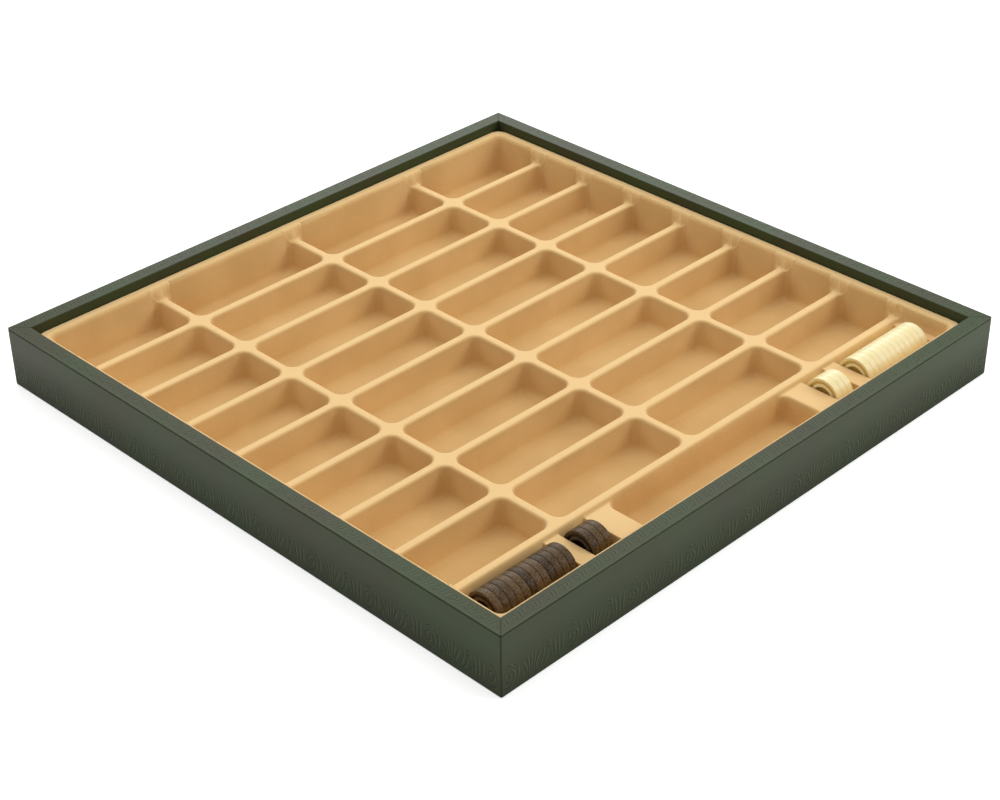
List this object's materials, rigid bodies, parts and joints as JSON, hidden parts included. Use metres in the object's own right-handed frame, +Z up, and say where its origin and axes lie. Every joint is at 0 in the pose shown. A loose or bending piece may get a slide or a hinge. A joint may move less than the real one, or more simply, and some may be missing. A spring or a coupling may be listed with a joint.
{
  "type": "chess and draughts storage case",
  "caption": "Low square leather-covered case with a flocked tray of drafted cells for chessmen and troughs that hold draughts counters on edge.",
  "frame": {"origin": "middle of the underside, on the surface that the case stands on", "axes": "+Z up, -Y towards the side with the counters' row, +X towards the end with the pale counters"},
  "size_m": [0.49, 0.49, 0.047],
  "materials": {
    "green_leather": "tooled, satin, dark green",
    "rail_wood": "planed softwood",
    "panel_wood": "plywood",
    "cover_cloth": "flat dark green cloth",
    "tan_flock": "short tan flock on a thermoformed sheet",
    "dark_counter_wood": "turned, stained dark brown, satin",
    "pale_counter_wood": "turned, natural pale yellow, satin",
    "steel": "bright wire and strip"
  },
  "bodies": {
    "case": {"rail_front": "rail_wood", "rail_right": "rail_wood", "rail_back": "rail_wood", "rail_left": "rail_wood", "side_leather_front": "green_leather", "side_leather_right": "green_leather", "side_leather_back": "green_leather", "side_leather_left": "green_leather", "rim_leather_front": "green_leather", "rim_leather_right": "green_leather", "rim_leather_back": "green_leather", "rim_leather_left": "green_leather", "base_panel": "panel_wood", "base_panel_pins": "steel", "corner_nails": "steel", "underside_cover": "cover_cloth"},
    "tray": {"tray": "tan_flock"},
    "counter_dark_01": {"counter_dark_01": "dark_counter_wood"},
    "counter_dark_02": {"counter_dark_02": "dark_counter_wood"},
    "counter_dark_03": {"counter_dark_03": "dark_counter_wood"},
    "counter_dark_04": {"counter_dark_04": "dark_counter_wood"},
    "counter_dark_05": {"counter_dark_05": "dark_counter_wood"},
    "counter_dark_06": {"counter_dark_06": "dark_counter_wood"},
    "counter_dark_07": {"counter_dark_07": "dark_counter_wood"},
    "counter_dark_08": {"counter_dark_08": "dark_counter_wood"},
    "counter_dark_09": {"counter_dark_09": "dark_counter_wood"},
    "counter_dark_10": {"counter_dark_10": "dark_counter_wood"},
    "counter_dark_11": {"counter_dark_11": "dark_counter_wood"},
    "counter_dark_12": {"counter_dark_12": "dark_counter_wood"},
    "counter_dark_13": {"counter_dark_13": "dark_counter_wood"},
    "counter_dark_14": {"counter_dark_14": "dark_counter_wood"},
    "counter_dark_15": {"counter_dark_15": "dark_counter_wood"},
    "counter_pale_01": {"counter_pale_01": "pale_counter_wood"},
    "counter_pale_02": {"counter_pale_02": "pale_counter_wood"},
    "counter_pale_03": {"counter_pale_03": "pale_counter_wood"},
    "counter_pale_04": {"counter_pale_04": "pale_counter_wood"},
    "counter_pale_05": {"counter_pale_05": "pale_counter_wood"},
    "counter_pale_06": {"counter_pale_06": "pale_counter_wood"},
    "counter_pale_07": {"counter_pale_07": "pale_counter_wood"},
    "counter_pale_08": {"counter_pale_08": "pale_counter_wood"},
    "counter_pale_09": {"counter_pale_09": "pale_counter_wood"},
    "counter_pale_10": {"counter_pale_10": "pale_counter_wood"},
    "counter_pale_11": {"counter_pale_11": "pale_counter_wood"},
    "counter_pale_12": {"counter_pale_12": "pale_counter_wood"},
    "counter_pale_13": {"counter_pale_13": "pale_counter_wood"},
    "counter_pale_14": {"counter_pale_14": "pale_counter_wood"},
    "counter_pale_15": {"counter_pale_15": "pale_counter_wood"}
  },
  "joints": [
    {"name": "tray_lift", "type": "slide", "parent": "case", "child": "tray", "axis": [0, 0, 1], "range_m": [0, 0.05]},
    {"name": "counter_dark_01_lift", "type": "slide", "parent": "tray", "child": "counter_dark_01", "axis": [0, 0, 1], "range_m": [0, 0.045]},
    {"name": "counter_dark_02_lift", "type": "slide", "parent": "tray", "child": "counter_dark_02", "axis": [0, 0, 1], "range_m": [0, 0.045]},
    {"name": "counter_dark_03_lift", "type": "slide", "parent": "tray", "child": "counter_dark_03", "axis": [0, 0, 1], "range_m": [0, 0.045]},
    {"name": "counter_dark_04_lift", "type": "slide", "parent": "tray", "child": "counter_dark_04", "axis": [0, 0, 1], "range_m": [0, 0.045]},
    {"name": "counter_dark_05_lift", "type": "slide", "parent": "tray", "child": "counter_dark_05", "axis": [0, 0, 1], "range_m": [0, 0.045]},
    {"name": "counter_dark_06_lift", "type": "slide", "parent": "tray", "child": "counter_dark_06", "axis": [0, 0, 1], "range_m": [0, 0.045]},
    {"name": "counter_dark_07_lift", "type": "slide", "parent": "tray", "child": "counter_dark_07", "axis": [0, 0, 1], "range_m": [0, 0.045]},
    {"name": "counter_dark_08_lift", "type": "slide", "parent": "tray", "child": "counter_dark_08", "axis": [0, 0, 1], "range_m": [0, 0.045]},
    {"name": "counter_dark_09_lift", "type": "slide", "parent": "tray", "child": "counter_dark_09", "axis": [0, 0, 1], "range_m": [0, 0.045]},
    {"name": "counter_dark_10_lift", "type": "slide", "parent": "tray", "child": "counter_dark_10", "axis": [0, 0, 1], "range_m": [0, 0.045]},
    {"name": "counter_dark_11_lift", "type": "slide", "parent": "tray", "child": "counter_dark_11", "axis": [0, 0, 1], "range_m": [0, 0.045]},
    {"name": "counter_dark_12_lift", "type": "slide", "parent": "tray", "child": "counter_dark_12", "axis": [0, 0, 1], "range_m": [0, 0.045]},
    {"name": "counter_dark_13_lift", "type": "slide", "parent": "tray", "child": "counter_dark_13", "axis": [0, 0, 1], "range_m": [0, 0.045]},
    {"name": "counter_dark_14_lift", "type": "slide", "parent": "tray", "child": "counter_dark_14", "axis": [0, 0, 1], "range_m": [0, 0.045]},
    {"name": "counter_dark_15_lift", "type": "slide", "parent": "tray", "child": "counter_dark_15", "axis": [0, 0, 1], "range_m": [0, 0.045]},
    {"name": "counter_pale_01_lift", "type": "slide", "parent": "tray", "child": "counter_pale_01", "axis": [0, 0, 1], "range_m": [0, 0.045]},
    {"name": "counter_pale_02_lift", "type": "slide", "parent": "tray", "child": "counter_pale_02", "axis": [0, 0, 1], "range_m": [0, 0.045]},
    {"name": "counter_pale_03_lift", "type": "slide", "parent": "tray", "child": "counter_pale_03", "axis": [0, 0, 1], "range_m": [0, 0.045]},
    {"name": "counter_pale_04_lift", "type": "slide", "parent": "tray", "child": "counter_pale_04", "axis": [0, 0, 1], "range_m": [0, 0.045]},
    {"name": "counter_pale_05_lift", "type": "slide", "parent": "tray", "child": "counter_pale_05", "axis": [0, 0, 1], "range_m": [0, 0.045]},
    {"name": "counter_pale_06_lift", "type": "slide", "parent": "tray", "child": "counter_pale_06", "axis": [0, 0, 1], "range_m": [0, 0.045]},
    {"name": "counter_pale_07_lift", "type": "slide", "parent": "tray", "child": "counter_pale_07", "axis": [0, 0, 1], "range_m": [0, 0.045]},
    {"name": "counter_pale_08_lift", "type": "slide", "parent": "tray", "child": "counter_pale_08", "axis": [0, 0, 1], "range_m": [0, 0.045]},
    {"name": "counter_pale_09_lift", "type": "slide", "parent": "tray", "child": "counter_pale_09", "axis": [0, 0, 1], "range_m": [0, 0.045]},
    {"name": "counter_pale_10_lift", "type": "slide", "parent": "tray", "child": "counter_pale_10", "axis": [0, 0, 1], "range_m": [0, 0.045]},
    {"name": "counter_pale_11_lift", "type": "slide", "parent": "tray", "child": "counter_pale_11", "axis": [0, 0, 1], "range_m": [0, 0.045]},
    {"name": "counter_pale_12_lift", "type": "slide", "parent": "tray", "child": "counter_pale_12", "axis": [0, 0, 1], "range_m": [0, 0.045]},
    {"name": "counter_pale_13_lift", "type": "slide", "parent": "tray", "child": "counter_pale_13", "axis": [0, 0, 1], "range_m": [0, 0.045]},
    {"name": "counter_pale_14_lift", "type": "slide", "parent": "tray", "child": "counter_pale_14", "axis": [0, 0, 1], "range_m": [0, 0.045]},
    {"name": "counter_pale_15_lift", "type": "slide", "parent": "tray", "child": "counter_pale_15", "axis": [0, 0, 1], "range_m": [0, 0.045]}
  ]
}
